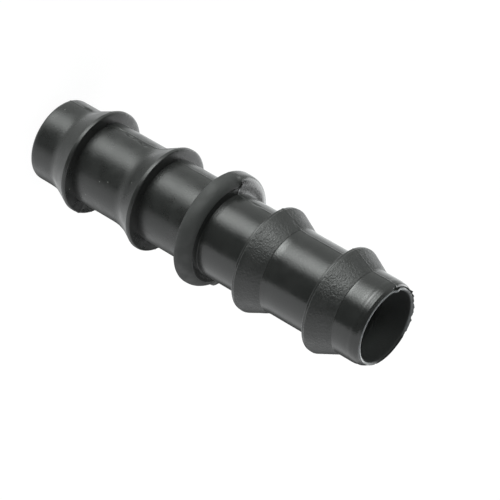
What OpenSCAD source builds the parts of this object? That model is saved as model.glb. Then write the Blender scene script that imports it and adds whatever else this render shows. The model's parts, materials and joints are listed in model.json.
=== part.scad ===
// Straight barbed pipe connector, moulded in one piece.
// It stands on its lower end: the pipe axis is Z and the lower end face is Z = 0.

/* [Pipe wall] */
// Length from end to end
overall_l = 60; // [56:0.5:80]
// Outer diameter of the plain wall between the barbs
stem_d = 12.6; // [12:0.1:13.4]
// Diameter of the bore, which runs right through
bore_d = 10.6; // [8:0.1:11.2]
// Rounding of the outer edge at both ends
end_round = 0.55; // [0.2:0.05:0.8]

/* [Barbs] */
// Diameter over the crests of the barbs
barb_d = 15.8; // [14.4:0.1:16.8]
// Width of a crest, from its back face to the start of the cone
crest_w = 0.55; // [0.4:0.05:0.9]
// Rounding along the back edge of a crest
crest_back_r = 0.3; // [0.1:0.05:0.35]
// Rounding along the front edge of a crest
crest_front_r = 0.1; // [0.05:0.01:0.18]
// From the middle of the pipe to the back face of an inner barb
inner_barb_at = 9.35; // [8.6:0.05:10.2]
// Length of the cone of an inner barb
inner_cone_l = 3.05; // [2.4:0.05:4.5]
// From the end of the pipe to the back face of an outer barb
outer_barb_in = 8.3; // [7:0.05:9]
// Length of the cone of an outer barb
outer_cone_l = 3.35; // [2.4:0.05:4.5]
// Fillet at the foot of a cone
cone_foot_r = 0.7; // [0.2:0.1:3]
// Fillet at the root of a back face
back_root_r = 0.15; // [0.05:0.05:0.4]

/* [Stop collar] */
// Diameter over the collar
collar_d = 17.3; // [16.6:0.1:19]
// Width of the collar along the pipe
collar_w = 2.55; // [2.4:0.05:4]
// How far the collar's middle sits above the middle of the pipe
collar_shift = 0.55; // [-0.8:0.05:0.8]
// Rounding of the collar's lower edge
collar_lower_r = 0.5; // [0.1:0.05:0.7]
// Rounding of the collar's upper edge, which shapes most of its section
collar_upper_r = 1.8; // [0.5:0.1:2]
// Fillet where the collar meets the pipe wall
collar_root_r = 0.15; // [0.05:0.05:0.4]

/* [Parting line] */
// Width of the fine ridge where the mould halves met
seam_w = 0.18; // [0.1:0.02:0.4]
// Height of that ridge above the surface
seam_h = 0.08; // [0.04:0.01:0.15]

/* [Hidden] */
$fn = 96;
stem_r = stem_d / 2;
bore_r = bore_d / 2;
barb_r = barb_d / 2;
collar_r = collar_d / 2;
middle = overall_l / 2;
// The end rounding leaves part of the wall flat to stand on
end_r = min(end_round, 0.6 * (stem_r - bore_r));
// Degrees of turn in each step of a rounded corner
corner_step = 10;
collar_low = collar_shift - collar_w / 2;
collar_high = collar_shift + collar_w / 2;
// The large rounding ends above the fillet at the collar's root
collar_top_round = min(collar_upper_r, collar_r - stem_r - collar_root_r);
overlap = 1;

// Corners of the outline are [radius, height, rounding].
// One barb with its back face at z, square to the axis, and its cone above.
function barb(z, cone_l) = [
    [stem_r, z, back_root_r],
    [barb_r, z, crest_back_r],
    [barb_r, z + crest_w, crest_front_r],
    [stem_r, z + crest_w + cone_l, cone_foot_r]
];

// The spigot above the collar, measured from the middle of the pipe
spigot = concat(
    barb(inner_barb_at, inner_cone_l),
    barb(middle - outer_barb_in, outer_cone_l),
    [[stem_r, middle, end_r]]
);

collar = [
    [stem_r, collar_low, collar_root_r],
    [collar_r, collar_low, collar_lower_r],
    [collar_r, collar_high, collar_top_round],
    [stem_r, collar_high, collar_root_r]
];

// Both spigots are alike, so the lower one is the upper one turned over
function turned_over(corners) = [
    for (i = [len(corners) - 1 : -1 : 0]) [corners[i][0], -corners[i][1], corners[i][2]]
];

// Corners raised by grow, but no further out than limit, and measured from the lower end
function raised(corners, grow, limit) = [
    for (c = corners) [min(c[0] + grow, limit), c[1] + middle, c[2]]
];

// The arc that rounds corner b on the way from a to c
function rounded(a, b, c) =
    let (
        pb = [b[0], b[1]],
        u = ([a[0], a[1]] - pb) / norm([a[0], a[1]] - pb),
        v = ([c[0], c[1]] - pb) / norm([c[0], c[1]] - pb),
        half = acos(u * v) / 2,
        centre = pb + (u + v) / norm(u + v) * b[2] / sin(half),
        start = pb + u * b[2] / tan(half) - centre,
        steps = ceil((180 - 2 * half) / corner_step),
        sweep = (u[0] * v[1] - u[1] * v[0] > 0 ? -1 : 1) * (180 - 2 * half)
    )
    [for (i = [0 : steps])
        let (turn = sweep * i / steps)
        centre + [
            start[0] * cos(turn) - start[1] * sin(turn),
            start[0] * sin(turn) + start[1] * cos(turn)
        ]
    ];

// The outline of the outside, from the axis at the lower end to the axis at the upper end.
// A raised outline still meets the crests of the barbs, so that a pipe slides over them.
function outline(grow) =
    let (
        path = concat(
            [[0, 0, 0]],
            raised(turned_over(spigot), grow, barb_r),
            raised(collar, grow, collar_r + grow),
            raised(spigot, grow, barb_r),
            [[0, overall_l, 0]]
        )
    )
    concat(
        [[0, 0]],
        [for (i = [1 : len(path) - 2]) each rounded(path[i - 1], path[i], path[i + 1])],
        [[0, overall_l]]
    );

module turned_outside(grow = 0) {
    rotate_extrude()
        polygon(outline(grow));
}

// A fine ridge down both sides, in the plane where the mould halves met.
// It fades out towards the crests of the barbs.
module parting_line() {
    intersection() {
        turned_outside(seam_h);
        translate([-collar_r - overlap, -seam_w / 2, 0])
            cube([2 * (collar_r + overlap), seam_w, overall_l]);
    }
}

module connector_body() {
    color([0.13, 0.135, 0.13])
        difference() {
            union() {
                turned_outside();
                parting_line();
            }
            translate([0, 0, -overlap])
                cylinder(h = overall_l + 2 * overlap, r = bore_r);
        }
}

connector_body();
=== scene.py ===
import json
import math

import bpy
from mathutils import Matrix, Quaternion, Vector, noise


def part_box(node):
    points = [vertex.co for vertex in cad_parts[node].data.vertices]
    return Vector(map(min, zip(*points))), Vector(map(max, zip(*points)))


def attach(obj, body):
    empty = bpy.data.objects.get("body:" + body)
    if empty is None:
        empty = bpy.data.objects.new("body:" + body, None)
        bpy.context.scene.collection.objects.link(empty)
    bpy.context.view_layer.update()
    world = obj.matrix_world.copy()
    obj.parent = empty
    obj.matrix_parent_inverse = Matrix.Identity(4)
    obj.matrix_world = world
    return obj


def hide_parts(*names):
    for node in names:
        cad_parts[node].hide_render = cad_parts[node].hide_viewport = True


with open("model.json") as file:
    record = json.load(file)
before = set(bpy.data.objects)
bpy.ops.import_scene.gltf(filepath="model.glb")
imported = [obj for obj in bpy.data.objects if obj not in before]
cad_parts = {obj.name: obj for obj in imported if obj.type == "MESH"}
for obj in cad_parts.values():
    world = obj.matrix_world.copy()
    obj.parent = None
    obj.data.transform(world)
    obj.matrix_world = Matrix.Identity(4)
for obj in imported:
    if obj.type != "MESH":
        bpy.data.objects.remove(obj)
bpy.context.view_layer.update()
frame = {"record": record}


# Camera
# It looks down on the standing connector from the side of the upper end, through a long
# lens, and is rolled so that the pipe lies across the picture from upper left to lower right.
camera_place = Vector((-0.15829, -0.27650, 0.21422))
camera_aim = Vector((0.00151, 0.00222, 0.03462))
camera_roll = math.radians(120.02)
lens_length = 191.77
sensor_w = 36

bpy.ops.object.camera_add(location=camera_place)
camera = bpy.context.object
camera.name = "photo_camera"
camera.data.lens = lens_length
camera.data.sensor_width = sensor_w
camera.rotation_euler = (
    (camera_aim - camera_place).to_track_quat("-Z", "Y") @ Quaternion((0, 0, 1), camera_roll)
).to_euler()
bpy.context.scene.camera = camera
bpy.context.scene.view_settings.view_transform = "Standard"


# Room light
# A large soft panel stands beside the connector with a pale screen next to it, the opposite
# side of the room is a white wall, and the side that the camera looks from is left dark.
# Each edge gives where a patch of light or shade starts and where it is full.
panel_azimuth = math.radians(200)
panel_light = 4.5
panel_near_edge = (-0.64, -0.02)
panel_far_edge = (0.70, -0.10)
panel_top_edge = (0.70, 0.42)
panel_foot_edge = (-2.2, -1.0)
hot_foot_edge = (-0.50, -0.36)
hot_top_edge = (-0.05, -0.20)
hot_light = 2.4
upper_edge = (0.10, 0.35)
upper_light = 1.62
near_tint = (0.982, 1.02, 0.998)
screen_light = 0.76
screen_edge = (-0.1, 0.45)
screen_foot_edge = (-0.62, -0.78)
screen_top_edge = (0.64, 0.42)
dark_light = 0.13
wall_light = 1.27
wall_tint = (0.985, 1.004, 1.008)
wall_horizon = 0.07
foot_edge = (-1, -0.86)
foot_light = 0.8
shade_light = 0.12
shade_near_edge = (-0.17, 0.38)
shade_slant = 0.3
shade_far_edge = (0.95, 0.78)
shade_foot_edge = (-0.72, -0.56)
shade_top_edge = (0.535, 0.57)
window_light = 3.9
window_near_edge = (0.78, 1.06)
window_foot_edge = (-0.1, 0.1)
window_top_edge = (0.55, 0.50)
least_depth = 0.001


def wire(tree, kind, inputs, **settings):
    """A new node with its settings, whose inputs take other nodes' outputs or plain values."""
    node = tree.nodes.new(kind)
    for name, value in settings.items():
        setattr(node, name, value)
    for name, value in inputs.items():
        if isinstance(value, bpy.types.NodeSocket):
            tree.links.new(value, node.inputs[name])
        else:
            node.inputs[name].default_value = value
    return node


def ramp(tree, value, edge, low=0.0, high=1.0):
    """A smooth step from low to high, as a value goes from an edge's first end to its second."""
    if edge[0] > edge[1]:
        edge, low, high = edge[::-1], high, low
    inputs = {"Value": value, "From Min": edge[0], "From Max": edge[1], "To Min": low, "To Max": high}
    return wire(tree, "ShaderNodeMapRange", inputs, interpolation_type="SMOOTHSTEP").outputs["Result"]


def sum_of(tree, operation, *terms):
    """The result of one kind of sum on two or more numbers, taken in turn."""
    total = terms[0]
    for term in terms[1:]:
        total = wire(tree, "ShaderNodeMath", {0: total, 1: term}, operation=operation).outputs[0]
    return total


def dot_of(tree, first, second):
    """How far one vector reaches along another."""
    inputs = {0: first, 1: second}
    return wire(tree, "ShaderNodeVectorMath", inputs, operation="DOT_PRODUCT").outputs["Value"]


def between(tree, factor, first, second):
    """A number between two others, as far along as a factor says."""
    inputs = {"Factor": factor, "A": first, "B": second}
    return wire(tree, "ShaderNodeMix", inputs).outputs["Result"]


def dress_room():
    """The world that lights the connector, drawn by direction."""
    world = bpy.data.worlds.new("room")
    world.use_nodes = True
    bpy.context.scene.world = world
    tree = world.node_tree
    tree.nodes.clear()
    view = wire(tree, "ShaderNodeTexCoord", {}).outputs["Generated"]
    toward = (math.cos(panel_azimuth), math.sin(panel_azimuth), 0)
    across = (toward[1], -toward[0], 0)
    facing = dot_of(tree, view, toward)
    upward = dot_of(tree, view, (0, 0, 1))
    reach = wire(tree, "ShaderNodeMath", {0: facing}, operation="ABSOLUTE").outputs[0]
    depth = sum_of(tree, "MAXIMUM", reach, least_depth)
    side = sum_of(tree, "DIVIDE", dot_of(tree, view, across), depth)
    rise = sum_of(tree, "DIVIDE", upward, depth)

    hot_band = sum_of(tree, "MULTIPLY", ramp(tree, rise, hot_foot_edge), ramp(tree, rise, hot_top_edge))
    panel = sum_of(
        tree, "MULTIPLY",
        ramp(tree, side, panel_near_edge), ramp(tree, side, panel_far_edge),
        ramp(tree, rise, panel_top_edge), ramp(tree, rise, panel_foot_edge),
        ramp(tree, hot_band, (0, 1), panel_light, panel_light * hot_light),
        ramp(tree, rise, upper_edge, 1, upper_light),
    )
    screen = sum_of(tree, "MULTIPLY", ramp(tree, side, screen_edge), ramp(tree, upward, screen_top_edge))
    screen = sum_of(tree, "MAXIMUM", screen, ramp(tree, upward, screen_foot_edge))
    near_side = sum_of(tree, "ADD", ramp(tree, screen, (0, 1), dark_light, screen_light), panel)
    slanted = sum_of(tree, "SUBTRACT", side, sum_of(tree, "MULTIPLY", upward, shade_slant))
    shade_end = sum_of(
        tree, "MAXIMUM",
        ramp(tree, side, shade_far_edge), ramp(tree, upward, shade_top_edge),
    )
    shade = sum_of(
        tree, "MULTIPLY",
        ramp(tree, slanted, shade_near_edge), shade_end, ramp(tree, upward, shade_foot_edge),
    )
    window = sum_of(
        tree, "MULTIPLY",
        ramp(tree, side, window_near_edge), ramp(tree, upward, window_foot_edge),
        ramp(tree, upward, window_top_edge),
    )
    wall = sum_of(
        tree, "MAXIMUM",
        ramp(tree, shade, (0, 1), wall_light, shade_light), ramp(tree, window, (0, 1), 0, window_light),
    )
    on_near_side = ramp(tree, facing, (-wall_horizon, wall_horizon))
    light = between(tree, on_near_side, wall, near_side)
    light = sum_of(tree, "MULTIPLY", light, ramp(tree, upward, foot_edge, foot_light, 1))

    tint = wire(tree, "ShaderNodeMix", {"Factor": on_near_side}, data_type="RGBA")
    tint.inputs[6].default_value = (*wall_tint, 1)
    tint.inputs[7].default_value = (*near_tint, 1)
    lit = wire(tree, "ShaderNodeBackground", {"Color": tint.outputs[2], "Strength": light}).outputs[0]
    seen = wire(tree, "ShaderNodeBackground", {"Color": (1, 1, 1, 1), "Strength": 1}).outputs[0]
    by_camera = wire(tree, "ShaderNodeLightPath", {}).outputs["Is Camera Ray"]
    mixed = wire(tree, "ShaderNodeMixShader", {0: by_camera, 1: lit, 2: seen}).outputs[0]
    wire(tree, "ShaderNodeOutputWorld", {"Surface": mixed})


dress_room()


# Floor
# A plain white table top, wide enough to fill the picture. It shows the connector's soft
# shadow, and it takes no part in the light on the connector.
floor_size = 4
floor_glow = 0.86
glow_light = 1.08
paint_white = (0.9, 0.9, 0.9, 1)

bpy.ops.mesh.primitive_plane_add(size=floor_size)
floor = bpy.context.object
floor.name = "table_top"
white_top = bpy.data.materials.new("white_table_top")
white_top.use_nodes = True
tree = white_top.node_tree
tree.nodes.clear()
glow = wire(tree, "ShaderNodeEmission", {"Color": (1, 1, 1, 1), "Strength": glow_light}).outputs[0]
paint = wire(tree, "ShaderNodeBsdfDiffuse", {"Color": paint_white}).outputs[0]
top_mix = wire(tree, "ShaderNodeMixShader", {0: floor_glow, 1: paint, 2: glow}).outputs[0]
wire(tree, "ShaderNodeOutputMaterial", {"Surface": top_mix})
floor.data.materials.append(white_top)
floor.visible_diffuse = False
floor.visible_glossy = False
floor.visible_shadow = False


# Connector moulding
# One injection moulding in black polyethylene: a thin tube with two sloped barbs on each side
# of a rounded stop collar. Two mould halves closed along it, which left a ridge down both
# sides, and a core pin left the bore. Its upper rim is nicked and has scraps of flash.
mm = 0.001
mounts = {mount["name"]: mount for mount in frame["record"]["mounts"]}
barb_r = mounts["upper_spigot"]["dims"]["r_mm"]
bore_r = mounts["bore"]["dims"]["r_mm"]
low_corner, high_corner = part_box("connector_body")
overall_l = (high_corner[2] - low_corner[2]) / mm
middle = overall_l / 2
stem_r = 6.3
crest_w = 0.52
crest_back_r = 0.2
crest_front_r = 0.1
back_lean = 0.12
inner_barb_at = 9.38
inner_cone_l = 3.05
upper_cone_l = 3.25
foot_rise = 0.07
foot_run = 0.9
outer_barb_in = 8.27
outer_barb_at = middle - outer_barb_in
outer_cone_l = 3.35
crisp_foot_r = 0.6
cone_foot_r = 3.0
soft_foot_r = 4.0
collar_r = 8.65
collar_root_r = 0.05
collar_low = -0.72
collar_high = 1.83
collar_low_round = 0.5
collar_high_round = 1.8
end_round = 0.5
bevel_w = 0.5
bevel_h = 0.56
bevel_top_r = 0.1
bevel_foot_depth = 0.09
bore_edge = 0.4
# Faint lines left by turning the mould: how far in from the upper end, and how deep
turned_steps = ((1.9, 0), (1.65, 0.02), (1.55, 0), (1.15, 0.05), (1, 0.1), (0.94, 0.03))
sides = 288
wall_step = 0.6
cone_step = 0.16
bore_step = 2
coarse_turn = math.radians(18)
fine_turn = math.radians(8)
small_rounding = 0.6
least_slope = (0.1, 0.3)
merge_gap = 0.002


def barb(at, cone_l, foot_r, rise=0):
    """Corners of one barb as (radius, height, rounding), from its back face up to its cone."""
    return [
        (stem_r, at - back_lean, 0),
        (barb_r, at, crest_back_r),
        (barb_r, at + crest_w, crest_front_r),
        (stem_r + rise, at + crest_w + cone_l, foot_r),
    ]


def arc(before, corner, after):
    """Points of the arc that rounds a corner of the outline."""
    here = Vector(corner[:2])
    rounding = corner[2]
    if rounding == 0:
        return [here]
    back = (Vector(before[:2]) - here).normalized()
    ahead = (Vector(after[:2]) - here).normalized()
    half = back.angle(ahead) / 2
    centre = here + (back + ahead).normalized() * rounding / math.sin(half)
    spoke = here + back * rounding / math.tan(half) - centre
    turn = math.pi - 2 * half
    steps = max(2, math.ceil(turn / (coarse_turn if rounding < small_rounding else fine_turn)))
    if back.x * ahead.y - back.y * ahead.x > 0:
        turn = -turn
    points = []
    for step in range(steps + 1):
        angle = turn * step / steps
        points.append(centre + Vector((
            spoke.x * math.cos(angle) - spoke.y * math.sin(angle),
            spoke.x * math.sin(angle) + spoke.y * math.cos(angle),
        )))
    return points


def wall_outline():
    """The outside of the wall from the lower bore edge to the upper one, about the middle."""
    inside = (bore_r, 0, 0)
    bore_corner = (bore_r, middle, bore_edge)
    lower = barb(inner_barb_at, inner_cone_l, soft_foot_r)
    lower += barb(outer_barb_at, outer_cone_l, cone_foot_r)
    lower += [(stem_r, middle, end_round), bore_corner, inside]
    corners = [(radius, -height, rounding) for radius, height, rounding in reversed(lower)]
    corners += [
        (stem_r, collar_low, collar_root_r),
        (collar_r, collar_low, collar_low_round),
        (collar_r, collar_high, collar_high_round),
        (stem_r, collar_high, collar_root_r),
    ]
    corners += barb(inner_barb_at, upper_cone_l, crisp_foot_r, foot_rise)
    corners.append((stem_r, inner_barb_at + crest_w + upper_cone_l + foot_run, soft_foot_r))
    corners += barb(outer_barb_at, outer_cone_l, crisp_foot_r)
    corners += [(stem_r - depth, middle - inward, 0) for inward, depth in turned_steps]
    corners.append((stem_r - bevel_foot_depth, middle - bevel_h, 0))
    corners += [(stem_r - bevel_w, middle, bevel_top_r), bore_corner, inside]
    points = []
    for before, corner, after in zip(corners, corners[1:], corners[2:]):
        points += arc(before, corner, after)
    return points


def ring_stations(points):
    """The outline's points, with more between them on its long stretches, most on the cones."""
    stations = [points[0]]
    for point in points[1:]:
        last = stations[-1]
        run = point - last
        sloped = abs(run.x) > least_slope[0] and abs(run.y) > least_slope[1]
        steps = max(1, math.ceil(run.length / (cone_step if sloped else wall_step)))
        stations += [last.lerp(point, step / steps) for step in range(1, steps + 1)]
    return stations


def turn_wall():
    """The whole wall: its section drawn point by point and spun round the pipe's axis."""
    stations = ring_stations(wall_outline())
    first, last = stations[0], stations[-1]
    bore_steps = math.ceil((last - first).length / bore_step)
    stations += [last.lerp(first, step / bore_steps) for step in range(1, bore_steps + 1)]
    places = [Vector((station.x, 0, middle + station.y)) * mm for station in stations]
    bpy.ops.object.select_all(action="DESELECT")
    bpy.ops.mesh.primitive_circle_add(vertices=3, radius=mm, location=places[0])
    piece = bpy.context.object
    bpy.ops.object.transform_apply()
    bpy.ops.object.mode_set(mode="EDIT")
    bpy.ops.mesh.merge(type="CENTER")
    for here, ahead in zip(places, places[1:]):
        bpy.ops.mesh.extrude_vertices_move(TRANSFORM_OT_translate={"value": ahead - here})
    bpy.ops.mesh.select_all(action="SELECT")
    bpy.ops.mesh.spin(steps=sides, angle=math.tau, center=(0, 0, 0), axis=(0, 0, 1))
    bpy.ops.mesh.select_all(action="SELECT")
    bpy.ops.mesh.remove_doubles(threshold=merge_gap * mm)
    bpy.ops.mesh.normals_make_consistent(inside=False)
    bpy.ops.object.mode_set(mode="OBJECT")
    return piece


moulding = turn_wall()
moulding.name = "connector_moulding"

# The ridge where the mould halves met. Its edges are cut in first, then its top is raised.
ridge_w = 0.18
ridge_top_w = 0.07
ridge_h = 0.07
ridge_top_share = 0.6
ridge_level = 0.75
ridge_swing = 0.5
ridge_wear_size = 1.3
low_ridge = 0.4
crest_depth = 0.06
hair = 0.02
margin = 0.1

bpy.ops.object.mode_set(mode="EDIT")
for aside in (-ridge_w / 2, -ridge_top_w / 2, ridge_top_w / 2, ridge_w / 2):
    bpy.ops.mesh.select_all(action="SELECT")
    bpy.ops.mesh.bisect(plane_co=(0, aside * mm, 0), plane_no=(0, 1, 0))
bpy.ops.object.mode_set(mode="OBJECT")


def push(piece, name, reach, weight_at):
    """Moves the surface by reach times the weight that a rule gives for each place on it."""
    group = piece.vertex_groups.new(name=name)
    members = {}
    for vertex in piece.data.vertices:
        x, y, z = vertex.co
        weight = weight_at(z / mm - middle, math.hypot(x, y) / mm, math.degrees(math.atan2(y, x)))
        if weight > 0:
            members.setdefault(round(min(weight, 1), 4), []).append(vertex.index)
    for weight, indices in members.items():
        group.add(indices, weight, "REPLACE")
    shift = piece.modifiers.new(name, "DISPLACE")
    shift.vertex_group = group.name
    shift.direction = "NORMAL"
    shift.mid_level = 0
    shift.strength = reach * mm
    bpy.ops.object.modifier_apply(modifier=shift.name)
    piece.vertex_groups.clear()


def bell(distance, width):
    """1 at no distance, falling smoothly to nothing at a few widths."""
    return math.exp(-(distance / width) ** 2)


def turned(azimuth, other):
    """Degrees from one azimuth to another, the short way round."""
    return (azimuth - other + 180) % 360 - 180


def swirl(height, radius, azimuth, size, stretch):
    """Noise between -1 and 1 with marks of a size, drawn out round the pipe by stretch."""
    angle = math.radians(azimuth)
    place = Vector((radius * math.cos(angle) / stretch, radius * math.sin(angle) / stretch, height))
    return noise.noise(place / size)


def on_ridge(height, radius, azimuth):
    """The ridge's top: lower on the collar and the crests, and none on the back faces."""
    aside = radius * abs(math.sin(math.radians(azimuth)))
    if aside > ridge_top_share * ridge_top_w or radius < bore_r + bore_edge:
        return 0
    for at in (inner_barb_at, outer_barb_at):
        if at - back_lean < abs(height) < at + hair and radius > stem_r + margin:
            return 0
    worn = ridge_level + ridge_swing * swirl(height, radius, azimuth, ridge_wear_size, 1)
    on_collar = collar_low < height < collar_high and radius > stem_r + 2 * margin
    on_crest = barb_r - crest_depth < radius < barb_r + hair / 2
    return low_ridge * worn if on_collar or on_crest else worn


push(moulding, "parting ridge", ridge_h, on_ridge)

# The slight waviness of the cooled wall
wave_h = 0.02
wave_size = 3.1
wave_stretch = 0.7
skin_from = 0.5


def on_waves(height, radius, azimuth):
    """The waves on the outside of the wall, which the thicker collar lacks."""
    if radius < bore_r + skin_from:
        return 0
    if collar_low - margin < height < collar_high + margin:
        return 0.5
    return 0.5 + 0.5 * swirl(height, radius, azimuth, wave_size, wave_stretch)


push(moulding, "waves", wave_h, on_waves)

# The grain of the two upper cones, coarser marks drawn out round the pipe and fine ones
grain_h = 0.044
coarse_grain = (0.33, 1.3)
fine_grain = (0.17, 1)
coarse_share = 0.12
patch_size = 1.2
patch_level = 0.85
patch_swing = 0.8
least_patch = 0.15
cone_margin = 0.15
grain_onset = 0.2
grain_end = 0.6
grained_cones = (
    (inner_barb_at + crest_w, upper_cone_l),
    (outer_barb_at + crest_w, outer_cone_l),
)


def on_cone_grain(height, radius, azimuth):
    """The grain, patchy along the cone and fading out towards its crest and its foot."""
    for foot, length in grained_cones:
        if foot - cone_margin < height < foot + length and radius > stem_r + margin / 2:
            coarse = swirl(height, radius, azimuth, *coarse_grain)
            fine = swirl(height, radius, azimuth, *fine_grain)
            patch = patch_level + patch_swing * swirl(height, radius, azimuth, patch_size, 1)
            mixed = coarse_share * coarse + (1 - coarse_share) * fine
            rise = 0.5 + min(max(patch, least_patch), 1) * mixed
            fade_in = (height - foot + cone_margin) / grain_onset
            return rise * min(1, fade_in, (foot + length - height) / grain_end)
    return 0


push(moulding, "cone grain", grain_h, on_cone_grain)

# Wear, nicks and flash of the upper rim: each mark has an azimuth, a width in degrees and a
# share of the reach, and each kind goes down to its own depth.
rim_reach = 0.3
rim_worn = ((-18, 36, 1), (143, 16, 0.45))
rim_worn_depth = 1.7
rim_nicks = ((113, 1.8, 0.45), (89, 2.2, 0.7), (66, 2.6, 0.6), (138, 2.0, 0.4), (20, 30, 0.2))
rim_nick_depth = 0.8
rim_flash = (
    (127, 1.6, 0.6), (106, 2.0, 0.3), (98, 1.4, 0.25), (85, 1.6, 0.4), (69, 1.4, 0.3), (100, 38, 0.2),
)
rim_flash_depth = 0.6


def rim_marks(marks, depth):
    """The rule for one kind of mark round the upper rim."""
    def weight_at(height, radius, azimuth):
        if height < middle - depth or radius < stem_r - end_round - margin:
            return 0
        level = (height - middle + depth) / depth
        return level * sum(share * bell(turned(azimuth, at), width) for at, width, share in marks)
    return weight_at


push(moulding, "worn rim", -rim_reach, rim_marks(rim_worn, rim_worn_depth))
push(moulding, "rim nicks", -rim_reach, rim_marks(rim_nicks, rim_nick_depth))
push(moulding, "rim flash", rim_reach, rim_marks(rim_flash, rim_flash_depth))

# A crease in the rim, and beside it a lip of flash folded over the bore's edge
crease_r = 5.84
crease_w = 0.13
crease_at = 158
crease_spread = 28
crease_depth = 0.26
crease_from = 0.4
lip_at = 179.5
lip_w = 5
lip_reach = 0.22
lip_from = 0.5
lip_beyond = 0.15


def on_rim_crease(height, radius, azimuth):
    """The crease between the rim and the folded flash beside the parting ridge."""
    if height < middle - crease_from or abs(turned(azimuth, crease_at)) > crease_spread:
        return 0
    return bell(radius - crease_r, crease_w)


push(moulding, "rim crease", -crease_depth, on_rim_crease)


def on_folded_lip(height, radius, azimuth):
    """The folded lip, highest at the rim."""
    if height < middle - lip_from or radius > bore_r + bore_edge + lip_beyond:
        return 0
    return bell(turned(azimuth, lip_at), lip_w) * (1 - (middle - height) / lip_from)


push(moulding, "folded lip", lip_reach, on_folded_lip)

# The fuller feet of the lower cones: a height, an azimuth and a share of the reach
full_feet = ((-12.9, -25, 1), (-25.6, -25, 0.5))
full_foot_reach = 0.2
foot_w = 1.1
foot_spread = 26


def on_full_feet(height, radius, azimuth):
    """The feet of the lower cones, which blend further into the wall on one side."""
    if radius < bore_r + skin_from or height > 0:
        return 0
    return sum(
        share * bell(height - at, foot_w) * bell(turned(azimuth, beside), foot_spread)
        for at, beside, share in full_feet
    )


push(moulding, "full feet", full_foot_reach, on_full_feet)

# The half of the collar that the other half of the mould made
full_side_reach = 0.45
full_side_edge = 0.6
full_side_onset = 1.5
full_side_power = 4.2


def on_full_side(height, radius, azimuth):
    """The half of the collar away from the camera, whose upper edge is squarer."""
    across = radius - collar_r + collar_high_round
    along = height - collar_high + collar_high_round
    inward = min(azimuth, 180 - azimuth) - full_side_edge
    if inward < 0 or across <= 0 or along <= 0 or height > collar_high + margin:
        return 0
    beta = math.atan2(along, across)
    spread = math.cos(beta) ** full_side_power + math.sin(beta) ** full_side_power
    swell = spread ** (-1 / full_side_power) - 1
    return min(1, inward / full_side_onset) * swell * collar_high_round / full_side_reach


push(moulding, "full collar side", full_side_reach, on_full_side)

# Small raised spots: each has a height, an azimuth, a size and a share of the rise
small_marks = (
    (-0.4, -102, 0.2, 0.8), (9.65, -111, 0.16, 1), (9.6, -180, 0.2, 0.8), (24.25, -119, 0.16, 0.6),
    (23.8, -130.5, 0.16, 0.6), (-21.95, -21.5, 0.3, 1), (-11.43, -117, 0.16, 0.6),
)
small_mark_h = 0.09
small_mark_from = 0.3
# Sunk places beside the ridge: each has a height, an azimuth, a length and a share of the depth
ridge_gaps = (
    (-26.4, 177.5, 0.5, 1), (-17.6, -175.5, 0.7, 1), (-15.1, -174, 0.4, 1), (-19.6, -178, 0.6, 0.7),
    (5, 179, 0.6, 0.45), (12, 179.5, 0.5, 0.35),
)
ridge_gap_w = 0.22
ridge_gap_depth = 0.28
ridge_gap_from = 0.4
clear_of_rim = 1


def away(height, radius, azimuth, at, beside):
    """How far a place lies from a mark, along the pipe and round it."""
    return height - at, turned(azimuth, beside) * math.radians(radius)


def on_small_marks(height, radius, azimuth):
    """Small raised spots on the crests and cones."""
    if radius < stem_r - small_mark_from or height > middle - clear_of_rim:
        return 0
    return max(
        share * bell(math.hypot(*away(height, radius, azimuth, at, beside)), size)
        for at, beside, size, share in small_marks
    )


push(moulding, "small marks", small_mark_h, on_small_marks)


def on_ridge_gap(height, radius, azimuth):
    """Short sunk places beside the ridge, where the mould halves didn't quite meet."""
    if radius < stem_r - ridge_gap_from or height > middle - clear_of_rim:
        return 0
    deepest = 0
    for at, beside, length, share in ridge_gaps:
        along, round_pipe = away(height, radius, azimuth, at, beside)
        deepest = max(deepest, share * bell(along, length) * bell(round_pipe, ridge_gap_w))
    return deepest


push(moulding, "ridge gaps", -ridge_gap_depth, on_ridge_gap)

# The collar sits slightly to one side of the pipe's axis
collar_offset = Vector((-0.13, 0.075, 0))
collar_from = 0.3
smooth_angle = math.radians(40)

bpy.ops.object.mode_set(mode="EDIT")
bpy.ops.mesh.select_all(action="DESELECT")
bpy.ops.object.mode_set(mode="OBJECT")
for vertex in moulding.data.vertices:
    level = collar_low - margin < vertex.co.z / mm - middle < collar_high + margin
    vertex.select = level and vertex.co.xy.length / mm > stem_r + collar_from
bpy.ops.object.mode_set(mode="EDIT")
bpy.ops.transform.translate(value=collar_offset * mm)
bpy.ops.object.mode_set(mode="OBJECT")
bpy.ops.object.shade_smooth_by_angle(angle=smooth_angle)

# The plastic: its tones, its shine and its fine relief, with where each of them changes. Some tones and
# shine are painted light and shade: in the bore, on the rim and in its crease.
black_tone = (0.0095, 0.0101, 0.0098)
worn_tone = (0.0150, 0.0158, 0.0150)
bore_tone = (0.018, 0.0192, 0.0187)
# Deeper in, the bore's tone turns paler: painted light in place of the light that fades down the bore.
painted_deep_bore_light = (0.088, 0.0935, 0.0905)
# The rim's pale tone: partly wear, partly painted highlight.
rim_wear_and_highlight_tone = (0.150, 0.158, 0.163)
collar_tone = (0.024, 0.0252, 0.0245)
speck_tone = (0.12, 0.125, 0.115)
plastic_ior = 1.52
polished = 0.20
far_polished = 0.31
grained = 0.36
matt = 0.60
worn_rim = 0.5
dull_bore = 0.65
rough_patches = (0.3, 0.7)
rough_swing = (0.85, 1.2)
bore_shine = 0.2
collar_shine = 0.42
far_shine = 0.45
near_shine = 0.5
stem_relief = 0.016
cone_relief = 0.08
mottle_scale = 0.55
grain_scale = 3.4
grain_stretch = (1, 1, 1.4)
noise_detail = 5
polish_change = (-6, 2)
collar_side_change = (1.2, -0.6)
bore_end = (0.02, 0.2)
painted_bore_light_levels = (middle - 0.3, middle - 6.5)
rim_levels = (middle - 0.5, middle - 0.2)
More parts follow.
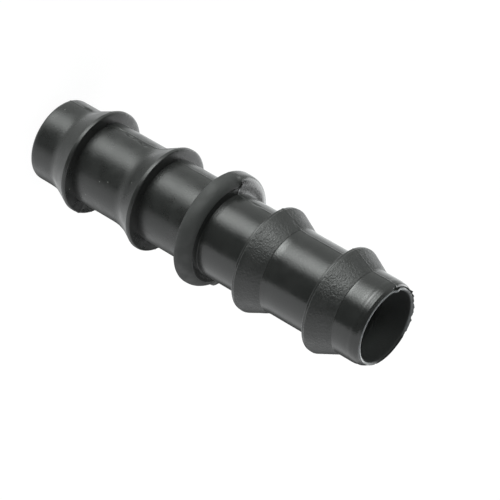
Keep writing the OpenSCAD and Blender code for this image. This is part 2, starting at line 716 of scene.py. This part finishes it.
# The rim's pale tone is fullest towards azimuth -140, where the light falls, and gone towards azimuth
# 30: painted highlight on top of wear.
rim_unlit_at = 30
rim_unlit_edge = (0.92, 0.72)
rim_highlight_at = -140
rim_highlight_edge = (0, 0.6)
least_rim_highlight = 0.55
rim_patches = (0.2, 0.6)
# Where the rim's crease is darkened: painted shade.
crease_levels = (middle - 0.6, middle - 0.5)
crease_end = (0.85, 0.89)
crease_half_w = 0.07
# Pale specks: each has a height, a radius and an azimuth
specks = (
    (-28.54, 6.3, -158), (-21.66, 6.91, -67), (-16.9, 6.3, -97), (-19.1, 6.3, -67), (-11.43, 7.1, -117),
    (-15.54, 6.3, -102),
)
speck_r = 0.12
speck_core_r = 0.048


def band(tree, value, low, high, blend):
    """1 between two values and nothing outside them, with soft edges."""
    rising = ramp(tree, value, (low - blend, low))
    return sum_of(tree, "MULTIPLY", rising, ramp(tree, value, (high + blend, high)))


def blended(tree, factor, first, second):
    """A colour between two, each of them plain values or another node's output."""
    node = wire(tree, "ShaderNodeMix", {"Factor": factor}, data_type="RGBA")
    for socket, tone in ((node.inputs[6], first), (node.inputs[7], second)):
        if isinstance(tone, tuple):
            socket.default_value = (*tone, 1)
        else:
            tree.links.new(tone, socket)
    return node.outputs[2]


def vector_of(tree, operation, inputs, output=0):
    """The result of one kind of sum on vectors."""
    return wire(tree, "ShaderNodeVectorMath", inputs, operation=operation).outputs[output]


def noise_of(tree, place, scale):
    """Even, fine-grained noise of a scale."""
    inputs = {"Vector": place, "Scale": scale, "Detail": noise_detail}
    return wire(tree, "ShaderNodeTexNoise", inputs).outputs[0]


def toward_azimuth(degrees):
    """The level direction at an azimuth."""
    angle = math.radians(degrees)
    return (math.cos(angle), math.sin(angle), 0)


def make_plastic():
    """Black polyethylene, polished by the mould, with grain, a dull bore painted paler deeper in, a rim
    pale from wear and painted highlight, a crease of painted shade and a few pale specks.
    """
    material = bpy.data.materials.new("black_polyethylene")
    material.use_nodes = True
    tree = material.node_tree
    skin = tree.nodes["Principled BSDF"]
    skin.inputs["IOR"].default_value = plastic_ior
    place = wire(tree, "ShaderNodeTexCoord", {}).outputs["Object"]
    in_mm = vector_of(tree, "SCALE", {0: place, "Scale": 1 / mm})
    x, y, z = wire(tree, "ShaderNodeSeparateXYZ", {0: in_mm}).outputs
    height = sum_of(tree, "SUBTRACT", z, middle)
    flat = wire(tree, "ShaderNodeCombineXYZ", {"X": x, "Y": y}).outputs[0]
    spoke = vector_of(tree, "NORMALIZE", {0: flat})
    radius = vector_of(tree, "LENGTH", {0: flat}, "Value")
    mottle = noise_of(tree, in_mm, mottle_scale)

    outside = ramp(tree, radius, (bore_r + bore_end[0], bore_r + bore_end[1]))
    on_cones = sum_of(tree, "MAXIMUM", *(
        band(tree, height, foot, foot + length - cone_margin, cone_margin)
        for foot, length in grained_cones
    ))
    on_collar = sum_of(
        tree, "MULTIPLY",
        band(tree, height, collar_low - margin / 2, collar_high - margin, margin / 2),
        ramp(tree, y, collar_side_change),
    )
    # Painted shade: in the rim's crease the shine is taken away and the rim's pale tone left out, to
    # darken it.
    crease_shade = sum_of(
        tree, "MULTIPLY",
        band(tree, radius, crease_r - crease_half_w, crease_r + crease_half_w, margin / 2),
        ramp(tree, height, crease_levels),
        ramp(tree, dot_of(tree, spoke, toward_azimuth(crease_at)), crease_end),
    )
    # The rim's pale tone, partly wear and partly a painted highlight that follows where the light falls
    # round the rim.
    rim_wear_and_highlight_mask = sum_of(
        tree, "MULTIPLY",
        band(tree, radius, bore_r + margin, stem_r - end_round, margin),
        ramp(tree, height, rim_levels),
        ramp(tree, dot_of(tree, spoke, toward_azimuth(rim_unlit_at)), rim_unlit_edge),
        ramp(tree, dot_of(tree, spoke, toward_azimuth(rim_highlight_at)), rim_highlight_edge, least_rim_highlight, 1),
        ramp(tree, mottle, rim_patches),
        ramp(tree, crease_shade, (1, 0)),
    )
    dots = []
    for at, reach, azimuth in specks:
        across = toward_azimuth(azimuth)
        spot = (reach * across[0], reach * across[1], middle + at)
        gap = vector_of(tree, "DISTANCE", {0: in_mm, 1: spot}, "Value")
        dots.append(ramp(tree, gap, (speck_r, speck_core_r)))

    tone = blended(tree, mottle, black_tone, worn_tone)
    tone = blended(tree, on_collar, tone, collar_tone)
    tone = blended(tree, sum_of(tree, "MAXIMUM", *dots), tone, speck_tone)
    # Painted light: the bore's tone grows paler deeper in, against the light fading there.
    inside = blended(tree, ramp(tree, height, painted_bore_light_levels), bore_tone, painted_deep_bore_light)
    tone = blended(tree, outside, inside, tone)
    tree.links.new(blended(tree, rim_wear_and_highlight_mask, tone, rim_wear_and_highlight_tone), skin.inputs["Base Color"])

    rough = ramp(tree, height, polish_change, far_polished, polished)
    for mask, value in ((on_cones, grained), (on_collar, matt), (rim_wear_and_highlight_mask, worn_rim)):
        rough = between(tree, mask, rough, value)
    rough = between(tree, outside, dull_bore, rough)
    uneven = ramp(tree, mottle, rough_patches, *rough_swing)
    tree.links.new(sum_of(tree, "MULTIPLY", rough, uneven), skin.inputs["Roughness"])

    shine = ramp(tree, height, polish_change, far_shine, near_shine)
    shine = between(tree, outside, bore_shine, shine)
    # No shine in the crease: painted shade.
    for mask, value in ((on_collar, collar_shine), (crease_shade, 0)):
        shine = between(tree, mask, shine, value)
    tree.links.new(shine, skin.inputs["Specular IOR Level"])

    stretched = vector_of(tree, "MULTIPLY", {0: in_mm, 1: grain_stretch})
    depth = ramp(tree, on_cones, (0, 1), stem_relief * mm, cone_relief * mm)
    relief = sum_of(tree, "MULTIPLY", noise_of(tree, stretched, grain_scale), depth)
    bumped = wire(tree, "ShaderNodeBump", {"Strength": 1, "Distance": 1, "Height": relief})
    tree.links.new(bumped.outputs[0], skin.inputs["Normal"])
    return material


moulding.data.materials.append(make_plastic())
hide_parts("connector_body")
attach(moulding, "root")
